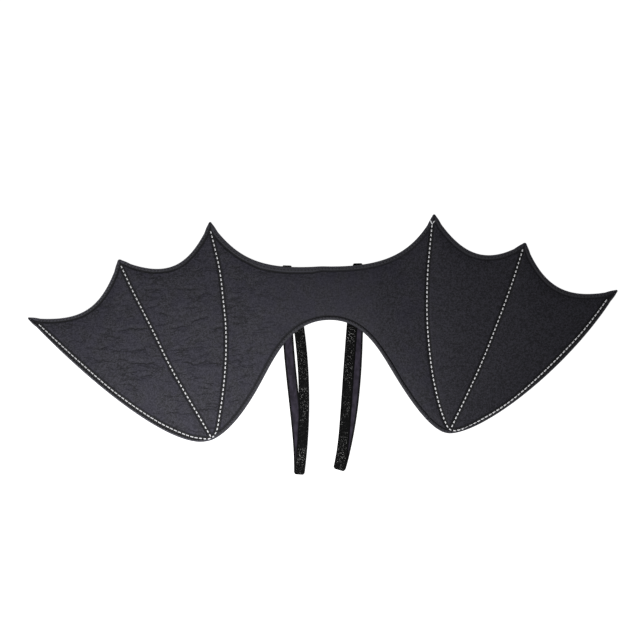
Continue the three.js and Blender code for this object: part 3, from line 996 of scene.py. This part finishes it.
class MakePanel(bpy.types.Operator):
    """Makes the padded panel from the CAD panel: even mesh, swollen padding, seams and creases"""

    bl_idname = "bat_wings.make_panel"
    bl_label = "Padded Panel"

    def execute(self, context):
        settings = context.scene.bat_wings.panel
        edge = Edge(context.scene.bat_wings.tape.step)
        panel = padded_start(settings)
        points = coordinates(panel)
        lift = edge.lift(points[:, 0])
        on_front = points[:, 2] - lift > FRONT_FROM
        inner_line = distances_to_lines(points, INNER_LINES)
        middle_line = distances_to_lines(points, MIDDLE_LINES)
        seam = np.minimum(np.abs(inner_line), np.abs(middle_line))
        found = [edge.nearest(point) for point in points]
        from_tape = np.array([distance - edge.widths[k] for k, distance in found])
        held = np.maximum(
            1 - (seam - SEAM_GRIP) / SEAM_RELEASE, 1 - (from_tape - TAPE_GRIP) / TAPE_RELEASE
        )
        held = np.where(on_front, np.clip(held, 0, 1), 1)
        swell(panel, held, settings)
        points = coordinates(panel)
        free = ease(from_tape / FREE_FROM)
        crease, depth = crease_map(points)
        channel = hump(seam, CHANNEL) * free
        squeezed = BESIDE_TAPE + RISE * ease((from_tape - TAPE_GRIP) / RISE_OVER)
        front = points[:, 2] - lift
        front = squeezed + (front - squeezed) * free
        front += cloth_relief(points, crease, depth, settings) * free - settings.seam_depth * channel
        back = points[:, 2] - lift + BACK_CHANNEL * channel
        points[:, 2] = lift + np.where(on_front, front, back)
        set_coordinates(panel, points)
        mark(
            panel, inner_line=inner_line, middle_line=middle_line, from_tape=from_tape,
            crease=crease, crease_away=np.abs(crease), crease_depth=depth * free,
        )
        select_only(panel)
        bpy.ops.object.shade_smooth()
        panel.data.materials.clear()
        panel.data.materials.append(creased_cloth(settings))
        dress(panel, "wing_cloth", "wing_panel")
        return {"FINISHED"}


# Tape round the edge


def tape_section(front_width, back_width, height, thickness):
    """The corners of the folded tape, as distances inwards and heights, round the whole section."""
    outside = [
        (front_width, height - 0.00035), (front_width - 0.00015, height - 0.0001),
        (front_width - 0.0007, height), (0.5 * front_width, height + 0.00008),
        *[(inwards, height - down) for inwards, down in TAPE_ROUNDING],
        (0, height / 2), *reversed(TAPE_ROUNDING),
        (back_width - 0.0005, 0), (back_width, 0.0002),
    ]
    inside = [
        (back_width, thickness), (0.0014, thickness), (thickness + 0.0001, 0.0012),
        (thickness, height / 2), (thickness + 0.0001, height - 0.0012), (0.0014, height - thickness),
        (front_width - 0.0002, height - thickness - 0.0001), (front_width, height - thickness),
    ]
    return np.array(outside + inside + outside[:1])


class MakeTape(bpy.types.Operator):
    """Makes the tape that is folded round the edge, with mitres at its blunt tips"""

    bl_idname = "bat_wings.make_tape"
    bl_label = "Edge Tape"

    def execute(self, context):
        settings = context.scene.bat_wings.tape
        edge = Edge(settings.step)
        order = [*range(len(edge.points)), 0]
        run = run_lengths(edge.points[order])
        rows, sizes, insets = [], [], []
        for position, k in enumerate(order):
            width = edge.widths[k]
            section = tape_section(width, settings.back_width, settings.height, settings.thickness)
            inwards = np.minimum(section[:, 0], edge.reach[k])
            flat = edge.points[k, :2] + inwards[:, None] * edge.inwards[k]
            rows.append(np.column_stack([flat, edge.points[k, 2] + section[:, 1]]))
            sizes.append(np.column_stack([np.full(len(section), run[position]), run_lengths(section)]))
            insets.append(np.column_stack([width - section[:, 0], section[:, 0]]))
        tape = laid_grid("edge_tape", np.array(rows), np.array(sizes))
        insets = np.array(insets).reshape(-1, 2)
        lower = np.repeat(ease(edge.inwards[order, 1] / 0.3), len(insets) // len(order))
        mark(tape, from_inner_edge=insets[:, 0], from_outline=insets[:, 1], lower=lower)
        edit_all(tape, weld, face_outwards)
        bpy.ops.object.shade_smooth()
        tape.data.materials.append(woven_tape(settings))
        dress(tape, "tape", "edge_binding")
        return {"FINISHED"}


# Thread


def stitch_model(settings):
    """One stitch of two-ply thread along x, with its ends going down into the cloth."""
    select_only(None)
    bpy.ops.mesh.primitive_cylinder_add(
        vertices=8, radius=0.5, depth=1, end_fill_type="NOTHING", rotation=(0, math.pi / 2, 0)
    )
    model = named(bpy.context.object, "stitch_model")
    bpy.ops.object.transform_apply(location=False, rotation=True, scale=False)
    edit_all(
        model,
        lambda: select_edges(model, lambda edge: abs(edge.verts[0].co.x - edge.verts[1].co.x) > 0.5),
        lambda: bpy.ops.mesh.subdivide(number_cuts=5),
    )
    points = coordinates(model)
    x = points[:, 0]
    angle = np.arctan2(points[:, 2], points[:, 1])
    two_ply = 1 - PLY_GROOVE * np.cos(2 * (angle + TWIST * x))
    taper = 1 - TAPER * (2 * np.abs(x)) ** 4
    points[:, 1] *= settings.width * two_ply * taper
    points[:, 2] *= settings.width * FLATNESS * two_ply * taper
    points[:, 2] -= END_DEPTH * (2 * np.abs(x)) ** 3
    points[:, 0] *= settings.stitch
    set_coordinates(model, points)
    edit_all(model, face_outwards)
    return model


def surface_of(*names):
    """A search tree of the faces of some pieces."""
    mesh = bmesh.new()
    for name in names:
        mesh.from_mesh(bpy.data.objects[name].data)
    tree = BVHTree.FromBMesh(mesh)
    mesh.free()
    return tree


def height_on(tree, point, from_above=True):
    start = Vector((point[0], point[1], 0.05 if from_above else -0.05))
    hit = tree.ray_cast(start, Vector((0, 0, -1 if from_above else 1)))[0]
    if hit is None:
        raise RuntimeError(f"no cloth under the stitch at {point}")
    return hit.z


def stitch_places(tree, line, pitch, above, from_above=True, shape=None):
    """The places of stitches along a line: every stitch at the middle of its step. Shape gives
    the length and width of the stitch at a point, as shares of the full ones."""
    stations = even_steps(line, pitch / 2)
    rise = 1.0 if from_above else PRESSED
    places = []
    for k in range(1, len(stations) - 1, 2):
        ends = [np.array([*p, height_on(tree, p, from_above)]) for p in stations[k - 1:k + 2]]
        along = unit(ends[2] - ends[0])
        side = unit(np.cross(UP if from_above else -UP, along))
        normal = np.cross(along, side)
        long, wide = shape(ends[1]) if shape else (1.0, 1.0)
        places.append((ends[1] + normal * above, np.array([along * long, side * wide, normal * rise])))
    return places


def sew(name, places, settings, material, slot):
    """Makes one piece of the stitches at some places."""
    stitches = joined_copies(name, stitch_model(settings), places)
    stitches.data.materials.append(material)
    dress(stitches, slot)


class MakeStitching(bpy.types.Operator):
    """Sews the white stitches of the ribs and lower edges, front and back, and the tape's seam"""

    bl_idname = "bat_wings.make_stitching"
    bl_label = "Rib Stitching"

    def execute(self, context):
        settings = context.scene.bat_wings.thread
        tree = surface_of("padded_panel", "edge_tape")
        white = twisted_thread(settings)

        def edge_shape(point):
            """Along the lower edges the stitches are longer, and thinner on the left."""
            if abs(point[0]) < LONG_FROM:
                return 1.0, 1.0
            return settings.long_stitch, LEFT_THIN if point[0] < 0 else 1.0

        for side, above in STITCH_ABOVE.items():
            places = []
            for name, points in RIB_LINES.items():
                line = smooth_through(np.array(points) * MM, FINE_STEP)
                shape = edge_shape if name in INNER_LINES else None
                places += stitch_places(tree, line, settings.pitch, above, side == "front", shape)
            sew("rib_stitching_" + side, places, settings, white, "thread")
        places = []
        for points in THREAD_ENDS:
            line = smooth_through(np.array(points) * MM, END_STEP)
            places += stitch_places(tree, line, END_PITCH, END_ABOVE)
        sew("thread_ends", places, settings, white, "thread")
        self.sew_tape(context.scene.bat_wings.tape, settings, tree)
        return {"FINISHED"}

    @staticmethod
    def sew_tape(tape, settings, tree):
        """The black seam that holds the tape, near its inner edge."""
        edge = Edge(tape.step)
        lower = ease(edge.inwards[:, 1] / 0.3) * ease((np.abs(edge.points[:, 0]) - 0.125) / 0.02)
        inset = edge.widths * (SEAM_AT + SEAM_SHIFT * lower)
        clear = edge.reach > inset + SEAM_ROOM
        seam = edge.points[:, :2] + inset[:, None] * edge.inwards
        stops = np.nonzero(~clear)[0]
        places = []
        for start, end in zip(stops, [*stops[1:], stops[0] + len(seam)]):
            if end - start > 4:
                stretch = np.take(seam, range(start + 1, end), axis=0, mode="wrap")
                thin = SEAM_THIN if lower[(start + end) // 2 % len(seam)] > 0.5 else 1.0
                line = even_steps(stretch, FINE_STEP)
                places += stitch_places(tree, line, SEAM_PITCH, 0.0, shape=lambda point: (1.0, thin))
        sew("tape_stitching", places, settings, black_thread(settings), "tape")


# Straps


def strap_stations(legs, settings):
    """The middle line of a strap, its direction of travel and its direction across, from the
    turned-in end over the neck edge, down the smooth leg, round the fold and up the plush leg."""
    smooth = bezier(legs["smooth"], 180)
    plush = bezier(legs["plush"], 160)
    low = settings.pile + settings.base / 2
    high = UPPER_LAYER + settings.base / 2
    radius = (high - low) / 2
    stations = []

    def add(point, down, turn):
        height = low + radius * (1 - math.cos(turn))
        flat = point + down * radius * math.sin(turn)
        travel = np.array([*(down * math.cos(turn)), math.sin(turn)])
        stations.append((np.array([*flat, height]), travel, np.array([*turned_left(down), 0.0])))

    turns = np.linspace(0, math.pi, 9)
    top_down = unit(smooth[1] - smooth[0])
    for k in range(5, 0, -1):
        add(smooth[0] + top_down * settings.turned_in * k / 5, top_down, math.pi)
    for turn in turns:
        add(smooth[0], top_down, math.pi + turn)
    for k in range(1, len(smooth) - 1):
        add(smooth[k], unit(smooth[k + 1] - smooth[k - 1]), 0.0)
    fold_down = unit(unit(smooth[-1] - smooth[-2]) + unit(plush[0] - plush[1]))
    for turn in turns:
        add(plush[0], fold_down, turn)
    for k in range(1, len(plush) - 1):
        add(plush[k], unit(plush[k - 1] - plush[k + 1]), math.pi)
    add(plush[-1], unit(plush[-2] - plush[-1]), math.pi)
    return stations


def pile_places(strap, settings, seed):
    """Places of the tufts, spread over the plush face by area and leaning at random."""
    chance = np.random.default_rng(seed)
    faces = [p for p in strap.data.polygons if p.material_index == 1]
    areas = np.array([p.area for p in faces])
    picks = chance.choice(len(faces), settings.tufts, p=areas / areas.sum())
    points = coordinates(strap)
    margins = np.empty(len(points))
    strap.data.attributes["across"].data.foreach_get("value", margins)
    places, insets = [], []
    for pick in picks:
        face = faces[pick]
        corners = points[list(face.vertices)]
        weights = chance.dirichlet(np.ones(len(corners)))
        origin = weights @ corners
        normal = np.array(face.normal)
        patch = noise.noise(tuple(origin * 60))
        lean = chance.normal(0, LEAN, 3) + np.array(PATCH_LEAN) * patch
        up = unit(normal + lean - normal * (lean @ normal))
        side = unit(np.cross(up, chance.normal(0, 1, 3)))
        forward = np.cross(side, up)
        facing = 0.3 + 0.7 * abs(normal[2])
        room = origin[2] - TUFT_CLEAR if normal[2] < 0 else 1.0
        tall = min(settings.pile * chance.uniform(0.75, 1.35) * facing, room)
        wide = TUFT_WIDTH * chance.uniform(0.7, 1.3) * facing
        places.append((origin - normal * TUFT_SUNK, np.array([side * wide, forward * wide, up * tall])))
        insets.append(1 - 2 * abs(weights @ margins[list(face.vertices)]))
    return places, np.array(insets)


def tuft_model():
    """One tuft of pile: a small bent loop end, one unit tall."""
    select_only(None)
    bpy.ops.mesh.primitive_cone_add(vertices=5, radius1=0.5, radius2=0.28, depth=1, end_fill_type="TRIFAN")
    model = named(bpy.context.object, "tuft_model")
    points = coordinates(model)
    points[:, 2] += 0.5
    points[:, 0] += 0.35 * points[:, 2] ** 2
    set_coordinates(model, points)
    return model


def strap_body(name, legs, settings, materials):
    """One folded strap: its middle face laid on the stations, thickened and with rounded edges."""
    stations = strap_stations(legs, settings)
    run = run_lengths(np.array([place for place, _, _ in stations]))
    across = np.linspace(0.5, -0.5, STRAP_POINTS) * settings.width
    folds = run[[abs(travel[2]) > 0.99 for _, travel, _ in stations]]
    off_end = np.max([np.clip(1 - np.abs(run - fold) / settings.corner, 0, 1) for fold in folds], axis=0)
    corner = 1 - 2 * settings.corner / settings.width * (1 - np.sqrt(1 - off_end**2)) * CORNER_SHARE
    flare = 1 + legs["flare"] * hump(run - folds[-1], FLARE_REACH)
    points = np.array([
        [place + width * narrow * a for a in across]
        for (place, _, width), narrow in zip(stations, corner * flare)
    ])
    sizes = np.array([[(s, a + settings.width / 2) for a in across] for s in run])
    strap = laid_grid(name, points, sizes)
    mark(strap, across=np.tile(across / settings.width, len(stations)))
    for material in materials:
        strap.data.materials.append(material)
    modify(strap, "SOLIDIFY", thickness=settings.base, offset=0, material_offset=1)
    sharp = math.radians(50)
    modify(strap, "BEVEL", width=EDGE_ROUNDING, segments=2, limit_method="ANGLE", angle_limit=sharp)
    bpy.ops.object.shade_smooth()
    return strap


class MakeStraps(bpy.types.Operator):
    """Makes the two folded elastic straps, smooth on one face and with plush pile on the other"""

    bl_idname = "bat_wings.make_straps"
    bl_label = "Shoulder Straps"

    def execute(self, context):
        settings = context.scene.bat_wings.straps
        faces, pile = (smooth_elastic(settings), plush_ground(settings)), plush_pile(settings)
        for seed, (side, legs) in enumerate(STRAPS.items(), start=1):
            strap = strap_body("elastic_strap_" + side, legs, settings, faces)
            dress(strap, "strap_elastic", "shoulder_strap_" + side)
            model = tuft_model()
            corners = len(model.data.vertices)
            places, insets = pile_places(strap, settings, seed)
            tufts = joined_copies("strap_pile_" + side, model, places)
            mark(tufts, off_margin=np.repeat(ease((insets - 0.18) / 0.2), corners))
            tufts.data.materials.append(pile)
            dress(tufts, "strap_elastic")
        return {"FINISHED"}


# Floor, light and camera


class MakeStage(bpy.types.Operator):
    """Lays the pale floor, sets soft studio light and puts the camera above the wings"""

    bl_idname = "bat_wings.make_stage"
    bl_label = "Floor, Light and Camera"

    def execute(self, context):
        settings = context.scene.bat_wings.stage
        select_only(None)
        bpy.ops.mesh.primitive_plane_add(size=settings.floor_size, location=(0, 0, -0.0001))
        floor = named(bpy.context.object, "floor")
        floor.data.materials.append(pale_floor(settings))
        bpy.ops.object.light_add(type="AREA", location=(-0.15, -0.18, 0.40))
        lamp = bpy.context.object
        lamp.name = "key"
        lamp.data.energy = settings.key_power
        lamp.data.size = 0.16
        world = bpy.data.worlds.new("Soft sky")
        world.use_nodes = True
        sky = world.node_tree.nodes["Background"]
        sky.inputs["Color"].default_value = (1, 1, 1, 1)
        sky.inputs["Strength"].default_value = settings.world
        context.scene.world = world
        context.scene.view_settings.view_transform = "Standard"
        self.camera(context)
        return {"FINISHED"}

    @staticmethod
    def camera(context):
        """Looks straight down, turned by the angle at which the wings lie in the picture."""
        view_width, sensor, lens = 0.64, 36.0, 100.0
        x, y, turn = -0.0033, 0.0259, math.radians(-2.3)
        bpy.ops.object.camera_add(location=(x, y, view_width * lens / sensor), rotation=(0, 0, turn))
        camera = bpy.context.object
        camera.data.sensor_width = sensor
        camera.data.lens = lens
        context.scene.camera = camera


# Sidebar


class BatWingsPanel(bpy.types.Panel):
    """Lists the pieces of the bat wings in the sidebar"""

    bl_label = "Bat Wings"
    bl_idname = "VIEW3D_PT_bat_wings"
    bl_space_type = "VIEW_3D"
    bl_region_type = "UI"
    bl_category = "Bat Wings"

    def draw(self, context):
        for operator, group in STEPS:
            box = self.layout.box()
            box.operator(operator.bl_idname)
            settings = getattr(context.scene.bat_wings, group)
            for name in settings.bl_rna.properties.keys():
                if name not in ("rna_type", "name"):
                    box.prop(settings, name)


STEPS = [
    (MakeStage, "stage"),
    (MakePanel, "panel"),
    (MakeTape, "tape"),
    (MakeStitching, "thread"),
    (MakeStraps, "straps"),
]
GROUPS = [PanelSettings, TapeSettings, ThreadSettings, StrapSettings, StageSettings, BatWingsSettings]
CLASSES = [*GROUPS, *[operator for operator, _ in STEPS], BatWingsPanel]


def register():
    for made in CLASSES:
        bpy.utils.register_class(made)
    bpy.types.Scene.bat_wings = PointerProperty(type=BatWingsSettings)


def unregister():
    del bpy.types.Scene.bat_wings
    for made in reversed(CLASSES):
        bpy.utils.unregister_class(made)


def main():
    register()
    bpy.ops.bat_wings.make_stage()
    bpy.ops.bat_wings.make_panel()
    bpy.ops.bat_wings.make_tape()
    bpy.ops.bat_wings.make_stitching()
    bpy.ops.bat_wings.make_straps()


if __name__ == "__main__":
    main()
